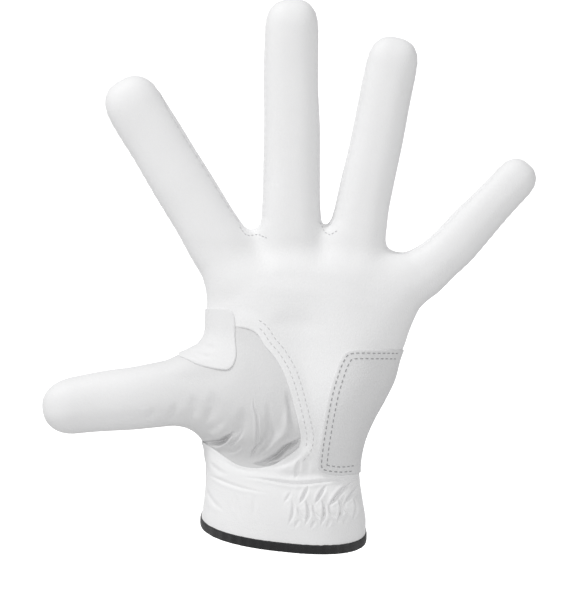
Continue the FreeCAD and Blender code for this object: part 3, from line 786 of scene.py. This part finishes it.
def shell(name, sheet, high, low, material):
    """A closed piece between two heights over a sheet."""
    points, normals, triangles = sheet
    count = len(points)
    top = points + normals * np.broadcast_to(high, count)[:, None]
    bottom = points + normals * np.broadcast_to(low, count)[:, None]
    rim = border(triangles)
    walls_a = np.stack([rim[:, 1], rim[:, 0], rim[:, 0] + count], 1)
    walls_b = np.stack([rim[:, 1], rim[:, 0] + count, rim[:, 1] + count], 1)
    faces = np.concatenate([triangles, triangles[:, ::-1] + count, walls_a, walls_b])
    sharp = np.concatenate([rim, rim + count])
    return make_object(name, np.concatenate([top, bottom]), faces.tolist(), material, sharp)


# Materials

def nodes_of(material):
    material.use_nodes = True
    tree = material.node_tree
    return tree.nodes, tree.links, tree.nodes["Principled BSDF"]


def set_inputs(node, **values):
    """Sets inputs of a shader node; a low line in a name stands for a space."""
    for socket, value in values.items():
        node.inputs[socket.replace("_", " ")].default_value = value


def fabric(name, colour, roughness, scale, bump, sheen=0.0, mottle=0.03, texture="NOISE", painted_shade=()):
    """A finish with fine grain in its surface and a slight unevenness in its colour.

    Each painted shade ramp (axis, from, to, share) darkens the colour to a share of itself along an axis, in
    millimetres, as painted shade.
    """
    material = bpy.data.materials.new(name)
    parts, links, finish = nodes_of(material)
    set_inputs(finish, Roughness=roughness, Sheen_Weight=sheen, Specular_IOR_Level=0.35)
    where = parts.new("ShaderNodeTexCoord")
    if texture == "NOISE":
        grain = parts.new("ShaderNodeTexNoise")
        set_inputs(grain, Detail=4.0)
        height = grain.outputs["Fac"]
    elif texture == "CELLS":
        grain = parts.new("ShaderNodeTexVoronoi")
        height = grain.outputs["Distance"]
    else:
        grain = parts.new("ShaderNodeTexWave")
        set_inputs(grain, Distortion=0.4)
        height = grain.outputs["Fac"]
    set_inputs(grain, Scale=scale)
    links.new(where.outputs["Object"], grain.inputs["Vector"])
    lift = parts.new("ShaderNodeBump")
    set_inputs(lift, Strength=1.0, Distance=bump)
    links.new(height, lift.inputs["Height"])
    links.new(lift.outputs["Normal"], finish.inputs["Normal"])
    cloud = parts.new("ShaderNodeTexNoise")
    set_inputs(cloud, Scale=45.0)
    links.new(where.outputs["Object"], cloud.inputs["Vector"])
    ramp = parts.new("ShaderNodeValToRGB")
    ramp.color_ramp.elements[0].color = (*[c * (1 - mottle) for c in colour], 1)
    ramp.color_ramp.elements[1].color = (*[min(1.0, c * (1 + mottle)) for c in colour], 1)
    links.new(cloud.outputs["Fac"], ramp.inputs["Fac"])
    shade = ramp.outputs["Color"]
    if painted_shade:
        axes = parts.new("ShaderNodeSeparateXYZ")
        links.new(where.outputs["Object"], axes.inputs["Vector"])
    # Painted shade: each ramp darkens the colour along one axis of the object's coordinates.
    for axis, start, end, share in painted_shade:
        fade = parts.new("ShaderNodeMapRange")
        fade.interpolation_type = "SMOOTHSTEP"
        set_inputs(fade, From_Min=start * MM, From_Max=end * MM, To_Min=1.0, To_Max=share)
        links.new(axes.outputs[axis], fade.inputs["Value"])
        mixed = parts.new("ShaderNodeVectorMath")
        mixed.operation = "SCALE"
        links.new(shade, mixed.inputs[0])
        links.new(fade.outputs["Result"], mixed.inputs["Scale"])
        shade = mixed.outputs["Vector"]
    links.new(shade, finish.inputs["Base Color"])
    return material


def leather(name, grey, blue, roughness=0.56, scale=1500.0, bump=0.00006, mottle=0.012, painted_shade=()):
    return fabric(name, (grey, grey, blue), roughness, scale, bump, sheen=0.06, mottle=mottle, texture="CELLS",
                  painted_shade=painted_shade)


def thread(name, grey, blue):
    return fabric(name, (grey, grey, blue), 0.7, 2500.0, 0.00005, sheen=0.1, mottle=0.04, texture="WAVE")


WHITE = leather("white_leather", 0.85, 0.855)
# The thumb leather carries painted shade: it darkens towards the palm (x from -72 to -24 mm) and towards the
# wrist (z from 58 to 40 mm), where the gusset's hollow lies in shade.
GUSSET = leather("thumb_leather_painted_shade", 0.84, 0.845, painted_shade=(("X", -72.0, -24.0, 0.86), ("Z", 58.0, 40.0, 0.91)))
WEB = leather("web_leather", 0.805, 0.81, mottle=0.02)
HEEL = leather("heel_leather", 0.745, 0.75, 0.6, 1300.0, 0.00009, 0.02)
TAPE = fabric("black_tape", (0.016, 0.016, 0.018), 0.72, 1400.0, 0.00012, 0.2, 0.15, "WAVE")
ELASTIC = fabric("elastic", (0.78, 0.78, 0.76), 0.8, 900.0, 0.0003, mottle=0.04, texture="WAVE")
LABEL = fabric("label_cloth", (0.8, 0.8, 0.8), 0.7, 1600.0, 0.00005, mottle=0.02, texture="WAVE")
LOOP = fabric("loop_cloth", (0.74, 0.74, 0.73), 0.95, 1500.0, 0.0005, sheen=0.5, mottle=0.06)
HOOK = fabric("hook_plastic", (0.72, 0.72, 0.71), 0.45, 1300.0, 0.0004, mottle=0.04, texture="CELLS")
THREAD = thread("white_thread", 0.77, 0.77)
# The shade and grey threads are greyed to stand in for the shade in the needle holes: painted shade.
SHADE_THREAD = thread("shade_thread", 0.6, 0.61)
NEEDLE_HOLE_SHADE_THREAD = thread("grey_thread_painted_hole_shade", 0.42, 0.43)


# Splitting the skin along every edge of every panel

def past(digit, along):
    return lambda x, y, z: in_digit(digit, x, y, z, along)


def past_seam(index, depth):
    return lambda x, y, z: seam_edges(x, y, z)[index] - depth


def on_front(outline, offset):
    """Above 0 inside an outline, everywhere but on the back."""
    return lambda x, y, z: np.where(y < FRONT_TO, outline.distance(x, z), -FAR) - offset


def hem_past(high):
    return lambda x, y, z: hem_height(x, y, z) - high


def slit_past(away):
    return lambda x, y, z: np.where(y > BACK_FROM, slit_distance(x, z), -FAR) + away


# The width of the rolled edge of a raw panel, and the share of its thickness by which it drops.
EDGE, LIP = 0.35, 0.45
# Finer triangles where the leather creases, and finer again under the sharpest folds and the gathers.
x, y, z = centres(bare_sheet).T
creased = (y < 3) & (z < 66) & (x > -42) & (x < 34) & (hem_height(x, y, z) > 3)
skin_sheet = refine(bare_sheet, creased)
x, y, z = centres(skin_sheet).T
folded = (x > -36) & (x < 7) & (z > 34) & (z < 62) & (THUMB_HOLE.distance(x, z) > 0)
gathered = (x > -3) & (x < 32) & (z > 9) & (z < 33)
skin_sheet = refine(skin_sheet, (y < 2) & (folded | gathered))
for digit in digits.values():
    skin_sheet = split(skin_sheet, past(digit, digit.start))
    skin_sheet = split(skin_sheet, past(digit, digit.half_way))
for depth in (0.0, -0.45, 0.45, -1.1, 1.1):
    for index in (0, 1):
        skin_sheet = split(skin_sheet, past_seam(index, depth))
for outline, offsets in ((THUMB_HOLE, (0.0, -EDGE, -LAP)), (HEEL_PATCH, (0.0, EDGE)), (WEB_PATCH, (0.0, EDGE))):
    for offset in offsets:
        skin_sheet = split(skin_sheet, on_front(outline, offset))
for high in (0.0, 0.5, HEM_LEATHER, 2.4, SLIT_TAPE_FOOT, HEM_TAPE):
    skin_sheet = split(skin_sheet, hem_past(high))
for away in (0.0, SLIT_LEATHER, 1.8, SLIT_TAPE):
    skin_sheet = split(skin_sheet, slit_past(away))
points, normals, triangles = skin_sheet
points, normals = onto_skin(points, rounds=1)
skin_sheet = (points, normals, triangles)

mx, my, mz = centres(skin_sheet).T
front_edge, back_edge = seam_edges(mx, my, mz)
is_front, is_back = front_edge < 0, back_edge > 0
is_strip = ~is_front & ~is_back
owner = np.full(len(triangles), "", dtype="<U16")
for name, digit in digits.items():
    owner[in_digit(digit, mx, my, mz, digit.start) > 0] = f"{name}_lower"
    owner[in_digit(digit, mx, my, mz, digit.half_way) > 0] = f"{name}_upper"
hem = hem_height(mx, my, mz)
on_hand = (owner == "") & (hem > HEM_LEATHER)
hole = THUMB_HOLE.distance(mx, mz)
heel = HEEL_PATCH.distance(mx, mz)
web = WEB_PATCH.distance(mx, mz)
slit = np.where(my > BACK_FROM, slit_distance(mx, mz), -FAR)
off_thumb = in_digit(digits["thumb"], mx, my, mz, digits["thumb"].start) <= 0


def quarter_round(t):
    """Falls in a quarter circle from 1 at 0 to 0 at 1."""
    return 1 - np.sqrt(1 - (1 - t) ** 2)


def rolled(sheet, kind, layer, distance):
    """The upper height of a layer, rounded down over a raw edge where distance runs to 0."""
    points = sheet[0]
    height = relief(points, kind) + layer[1]
    edge = np.clip(distance(points) / EDGE, 0.0, 1.0)
    return height - LIP * (layer[1] - layer[0]) * quarter_round(edge)


def no_edge(points):
    return np.full(len(points), FAR)


def inside_of(outline):
    return lambda points: outline.distance(points[:, 0], points[:, 2])


def outside_hole(points):
    return np.where(points[:, 1] < 3, -THUMB_HOLE.distance(points[:, 0], points[:, 2]), FAR)


def panel(name, keep, kind, layer, material=WHITE, distance=no_edge):
    sheet = part_of(skin_sheet, keep)
    high = rolled(sheet, kind, layer, distance)
    low = relief(sheet[0], kind) + layer[0]
    return shell(name, sheet, high, low, material)


def ride(made, body, *stands_for, slot="white_leather"):
    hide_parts(*stands_for)
    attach(made, body)
    return made


def bend(made, digit, part, *stands_for, slot="white_leather"):
    """A piece of a digit at its base fold or at its middle fold, with its world transform baked into its mesh.
    """
    if stands_for:
        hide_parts(*stands_for)
    ends = (digit.start, digit.FOLD_AFTER)
    if part == "upper":
        ends = (digit.bend - digit.BEND_REACH, digit.bend + digit.BEND_REACH)
    start, end = (digit.point(along, 0.0) * MM for along in ends)
    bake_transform(made)
    return made


for name, digit in digits.items():
    across = digit.local(mx, my, mz)[1]
    for part in ("lower", "upper"):
        here = owner == f"{name}_{part}"
        for label, side in (("palm_side", is_front), ("back", is_back)):
            is_gusset = name == "thumb" and label == "palm_side"
            kind, material = ("gusset", GUSSET) if is_gusset else ("plain", WHITE)
            made = panel(f"{name}_{label}_{part}_skin", here & side, kind, MAIN, material)
            bend(made, digit, part, f"{name}_{label}_{part}")
        for sign in FOURCHETTES[name]:
            label = f"{name}_{SIDE_WORDS[sign]}_fourchette_{part}"
            made = panel(f"{label}_skin", here & is_strip & (np.sign(across) == sign), "plain", MAIN)
            bend(made, digit, part, label)

for left, right in (("index", "middle"), ("middle", "ring"), ("ring", "little")):
    between = (digits[left].local(mx, my, mz)[1] > 0) & (digits[right].local(mx, my, mz)[1] < 0)
    label = f"{left}_{right}_fourchette"
    ride(panel(f"{label}_skin", on_hand & is_strip & between, "plain", MAIN), "hand", label)

lap = np.where((mx < -19) & (mz > 70) | (my > -2.5), 0.0, LAP)
for label, keep, kind, layer, material, distance in (
        ("palm_panel", on_hand & is_front & (hole < 0), "front", MAIN, WHITE, outside_hole),
        ("back_panel", on_hand & is_back & (slit < -SLIT_LEATHER), "back", MAIN, WHITE, no_edge),
        ("thumb_base", on_hand & is_front & (hole > -lap) & off_thumb, "gusset", MAIN, GUSSET, no_edge),
        ("heel_patch", on_hand & is_front & (heel > 0), "heel", PATCH, HEEL, inside_of(HEEL_PATCH)),
        ("web_patch", on_hand & (my < 8) & (web > 0), "web", PATCH, WEB, inside_of(WEB_PATCH))):
    ride(panel(f"{label}_skin", keep, kind, layer, material, distance), "hand", label)


# Stitches

def surface_at(x, z, face=-1):
    """Points of the skin over x and z, on the palm side (-1) or the back (1)."""
    y = np.full(len(x), 34.0 * face)
    for _ in range(70):
        y = y - 0.7 * face * skin(x, y, z)
    return np.stack([x, y, z], axis=1)


def row(path, high, pitch=2.3, long=1.55, radius=0.24):
    """Short raised stitches at an even pitch along a path on the skin: vertices and faces."""
    path, normals = onto_skin(np.asarray(path, float), rounds=1)
    raised = path + normals * np.broadcast_to(high, len(path))[:, None]
    run = np.concatenate([[0], np.cumsum(np.linalg.norm(np.diff(raised, axis=0), axis=1))])
    middles = np.arange(0.5 * pitch, run[-1] - 0.4 * pitch, pitch)
    vertices, faces, sides = [], [], 6

    def at(where, values):
        return np.stack([np.interp(where, run, values[:, i]) for i in range(3)], axis=1)

    along = at(middles + 0.3, raised) - at(middles - 0.3, raised)
    along /= np.linalg.norm(along, axis=1)[:, None]
    outward = at(middles, normals)
    beside = np.cross(along, outward)
    for place, size, sink in ((-0.5, 0.4, 0.7), (-0.36, 1.0, 0.0), (0.36, 1.0, 0.0), (0.5, 0.4, 0.7)):
        centre = at(middles + place * long, raised) - outward * sink * radius
        for turn in range(sides):
            angle = 2 * math.pi * turn / sides
            arm = beside * math.cos(angle) + outward * math.sin(angle)
            vertices.append(centre + arm * radius * size)
    vertices = np.stack(vertices, axis=1).reshape(-1, 3)
    ring = [(r + k, r + (k + 1) % sides, r + sides + (k + 1) % sides, r + sides + k)
            for r in (0, sides, 2 * sides) for k in range(sides)]
    ends = [tuple(range(sides))[::-1], tuple(range(3 * sides, 4 * sides))]
    for i in range(len(middles)):
        faces += [tuple(4 * sides * i + v for v in face) for face in ring + ends]
    return vertices, faces


def stitches(name, rows, material):
    """One piece from several rows of stitches."""
    vertices, faces, count = [], [], 0
    for points, polygons in rows:
        vertices.append(points)
        faces += [tuple(v + count for v in face) for face in polygons]
        count += len(points)
    return make_object(name, np.concatenate(vertices), faces, material)


def beside_outline(outline, inset, keep, kind, layer):
    """A row's path at a distance inside an outline, for the stretch that a rule keeps, and its height."""
    path = outline.path
    ahead = np.roll(path, -1, axis=0) - np.roll(path, 1, axis=0)
    inward = np.stack([-ahead[:, 1], ahead[:, 0]], axis=1) / np.linalg.norm(ahead, axis=1)[:, None]
    if outline.distance(*(path + inward * 0.5).T).mean() < 0:
        inward = -inward
    moved = path + inward * inset
    kept = keep(moved[:, 0], moved[:, 1])
    first = np.flatnonzero(kept & ~np.roll(kept, 1))[0]
    order = (first + np.arange(kept.sum())) % len(path)
    track = surface_at(*moved[order].T)
    return track, relief(track, kind) + layer[1] - 0.04


def seam_track(digit, side, depth, low, high, away):
    """Points along a digit beside its seam, a little way onto the palm-side panel."""
    along = np.arange(low, high, 0.8)
    track = np.array([digit.point(a, side * 0.85 * digit.width(a), depth(a) - away) for a in along])
    for _ in range(5):
        track = onto_skin(track, rounds=1)[0]
        now = digit.local(*track.T)
        track[:, 1] += depth(now[0]) - away - now[2]
    return onto_skin(track, rounds=1)[0]


def index_seam(along):
    """The depth of the index finger's palm-side seam."""
    return -fourchette_half(digits["index"], along) * (1 + INDEX_WIDER / FOURCHETTE_HALF * index_growth(along))


def beside_heel_edge(x, z):
    return x < 47.5 - 0.42 * np.abs(z - 84)


heel_rows = [row(*beside_outline(HEEL_PATCH, inset, beside_heel_edge, "heel", PATCH)) for inset in (1.3, 3.5)]
# The heel patch's stitches use the grey thread, whose grey is painted shade of the needle holes.
ride(stitches("heel_patch_stitches", heel_rows, NEEDLE_HOLE_SHADE_THREAD), "hand")
hole_rows = [row(*beside_outline(THUMB_HOLE, -away, lambda x, z: (x > -11.5) & (z > foot), "front", MAIN),
                 radius=0.2)
             for away, foot in ((2.4, 41.0), (4.9, 36.5))]
ride(stitches("thumb_hole_stitches", hole_rows, THREAD), "hand")
index = digits["index"]
for part, low, high in (("lower", index.start + 1.5, index.half_way),
                        ("upper", index.half_way, index.long - 12.0)):
    track = seam_track(index, 1, index_seam, low, high, 0.9)
    rows = [row(track, relief(track, "plain") + MAIN[1], radius=0.17)]
    bend(stitches(f"index_seam_{part}_stitches", rows, THREAD), index, part)

crotch_rows = []
for corners in (((-18.6, 130.2), (-16.4, 127.0), (-14.6, 126.4), (-11.0, 127.0), (-7.4, 125.4)),
                ((13.6, 132.0), (15.4, 127.9), (17.6, 126.8), (20.6, 128.6))):
    track = surface_at(*along_corners(corners, 30))
    crotch_rows.append(row(track, relief(track, "front") + MAIN[1], pitch=1.6, long=1.05, radius=0.17))
# The crotch stitches use the shade thread, whose grey is painted shade of the needle holes.
ride(stitches("crotch_stitches", crotch_rows, SHADE_THREAD), "hand")


# Binding of the hem and the slit

def tape_height(share, thick):
    """The rounded outside of a folded tape, from one edge at 0 to the other at 1."""
    return thick * np.sqrt(np.clip(1 - (2 * share - 1) ** 4, 0.0, 1.0))


hem_sheet = part_of(skin_sheet, (hem > 0) & (hem < HEM_TAPE) & (slit < 0) & (owner == ""))
share = hem_height(*hem_sheet[0].T) / HEM_TAPE
crest = relief(hem_sheet[0], "plain") * 0.5
pucker = 0.1 * np.sin(hem_sheet[0][:, 0] * 1.7)
ride(shell("hem_binding_tape", hem_sheet, 0.1 + tape_height(share, 0.6) + pucker + crest,
           -0.5 - tape_height(share, 0.7) + crest, TAPE), "hand", "hem_binding", slot="black_tape")
slit_keep = on_hand & (slit < 0) & (slit > -SLIT_TAPE) & (my > BACK_FROM) & (hem > SLIT_TAPE_FOOT)
slit_sheet = part_of(skin_sheet, slit_keep)
share = -slit_distance(slit_sheet[0][:, 0], slit_sheet[0][:, 2]) / SLIT_TAPE
crest = relief(slit_sheet[0], "back")
high = tape_height(share, 0.65)
ride(shell("slit_binding_tape", slit_sheet, 0.1 + high + crest, -0.5 - high + crest, TAPE),
     "hand", "slit_binding", slot="black_tape")


# Closure on the back of the cuff, and the elastic and label inside

# The width of the rounded rim of a flat piece, and the share of its thickness by which it drops.
RIM, RIM_DROP = 0.6, 0.6


def rounded_box(x, z, low, high, corner, left):
    """Distance inside a box over x and z with rounded corners, to the right of a straight end."""
    middle = ((low[0] + high[0]) / 2, (low[1] + high[1]) / 2)
    half = ((high[0] - low[0]) / 2 - corner, (high[1] - low[1]) / 2 - corner)
    out_x, out_z = np.abs(x - middle[0]) - half[0], np.abs(z - middle[1]) - half[1]
    outside = np.hypot(np.maximum(out_x, 0), np.maximum(out_z, 0))
    return np.minimum(corner - outside - np.minimum(np.maximum(out_x, out_z), 0), x - left)


def plate(name, face, box, corner, layer, material, bumps=None, left=-60.0):
    """A thin flat piece with rounded corners that follows the skin at a height over it."""
    def inside(offset):
        def value(x, y, z):
            return np.where(face * y > BACK_FROM, rounded_box(x, z, *box, corner, left), -FAR) - offset
        return value

    sheet = part_of(bare_sheet, inside(-4.0)(*centres(bare_sheet).T) > 0)
    for offset in (0.0, RIM * 0.3, RIM):
        sheet = split(sheet, inside(offset))
    sheet = part_of(sheet, inside(0.0)(*centres(sheet).T) > 0)
    inset = np.clip(rounded_box(sheet[0][:, 0], sheet[0][:, 2], *box, corner, left) / RIM, 0.0, 1.0)
    high = layer[1] - RIM_DROP * (layer[1] - layer[0]) * quarter_round(inset)
    if bumps is not None:
        high = high + bumps(*sheet[0].T) * inset
    return shell(name, sheet, high, layer[0], material)


def nap(x, y, z):
    return 0.12 * np.sin(3.1 * x + 0.9 * z) * np.sin(2.7 * z - 0.8 * x)


def hooks(x, y, z):
    return 0.14 * np.cos(np.pi * x) * np.cos(np.pi * z)


ride(plate("loop_patch_pad", 1, ((4.0, 22.5), (24.5, 41.5)), 7.5, (0.35, 0.95), LOOP, bumps=nap),
     "hand", "loop_patch", slot="loop_cloth")
ride(plate("tab_hook_pad", 1, ((4.0, 23.5), (23.5, 40.5)), 6.5, (1.15, 1.85), HOOK, bumps=hooks),
     "tab", "tab_hook", slot="hook_plastic")
ride(plate("tab_leather_strap", 1, ((-40.0, 21.0), (26.0, 43.0)), 9.0, (1.95, 2.7), WHITE, left=-13.2),
     "tab", "tab_leather")
ride(plate("tab_root_strap", 1, ((-19.0, 21.0), (-14.7, 43.0)), 0.01, (0.3, 2.3), WHITE), "hand", "tab_root")


def box_row(low, high, corner, level):
    """Stitches around a rounded box on the back of the cuff, at a height over the skin."""
    corners = [(high[0] - corner, low[1] + corner, -90), (high[0] - corner, high[1] - corner, 0),
               (low[0] + corner, high[1] - corner, 90), (low[0] + corner, low[1] + corner, 180)]
    path = []
    for x, z, first in corners:
        for turn in np.radians(np.linspace(first, first + 90, 8)):
            path.append((x + corner * math.cos(turn), z + corner * math.sin(turn)))
    return row(surface_at(*along_corners(path + path[:1], 240), 1), level, radius=0.2)


ride(stitches("tab_stitches", [box_row((-11.8, 22.4), (24.6, 41.6), 7.6, 2.66)], THREAD), "tab")
ride(stitches("tab_root_stitches", [box_row((-18.0, 22.2), (-15.7, 41.8), 0.4, 2.26)], THREAD), "hand")
ride(plate("wrist_elastic_band", -1, ((2.0, 14.0), (26.0, 22.0)), 0.3, (-1.5, -0.7), ELASTIC),
     "hand", "wrist_elastic", slot="elastic")
ride(plate("size_label_patch", 1, ((-25.0, 24.0), (-14.0, 38.0)), 0.3, (-0.95, -0.65), LABEL),
     "hand", "size_label", slot="label_cloth")


# Stage

def stage_sheet(name, corners, material_name, **finish):
    """A flat sheet of the stage, which is no part of the glove."""
    mesh = bpy.data.meshes.new(name)
    mesh.from_pydata(corners, [], [(0, 1, 2, 3)])
    made = bpy.data.objects.new(name, mesh)
    bpy.context.scene.collection.objects.link(made)
    material = bpy.data.materials.new(material_name)
    set_inputs(nodes_of(material)[2], **finish)
    mesh.materials.append(material)


stage_sheet("floor", [(-5, -6, -0.06), (5, -6, -0.06), (5, 0.5, -0.06), (-5, 0.5, -0.06)], "pale_floor",
            Base_Color=(0.7, 0.7, 0.7, 1), Roughness=0.9)
stage_sheet("backdrop", [(-2.2, 3.4, -1.6), (2.2, 3.4, -1.6), (2.2, 3.4, 1.2), (-2.2, 3.4, 1.2)],
            "white_backdrop", Emission_Color=(1, 1, 1, 1), Emission_Strength=1.0)

world = bpy.data.worlds.new("studio")
bpy.context.scene.world = world
world.use_nodes = True
set_inputs(world.node_tree.nodes["Background"], Color=(1, 1, 1, 1), Strength=0.6)


# The middle of the palm, in metres, which the lights point at.
AIM = (0.0, 0.0, 0.1)


def area_light(name, place, size, power):
    """A square light that points at the glove's palm."""
    lamp = bpy.data.lights.new(name, "AREA")
    lamp.size, lamp.energy = size, power
    made = bpy.data.objects.new(name, lamp)
    made.location = place
    made.rotation_mode = "QUATERNION"
    made.rotation_quaternion = (Vector(AIM) - Vector(place)).to_track_quat("-Z", "Y")
    bpy.context.scene.collection.objects.link(made)


area_light("key", (-1.15, -0.7, 2.0), 0.4, 20.0)
area_light("front", (-0.25, -2.3, 0.5), 1.0, 10.0)

camera_data = bpy.data.cameras.new("camera")
camera_data.sensor_width = 36.0
camera_data.lens = 238.0
camera = bpy.data.objects.new("camera", camera_data)
camera.location = (0.0026, -1.6, 0.1)
camera.rotation_euler = (math.pi / 2, 0, 0)
bpy.context.scene.collection.objects.link(camera)
bpy.context.scene.camera = camera
bpy.context.scene.view_settings.view_transform = "Standard"
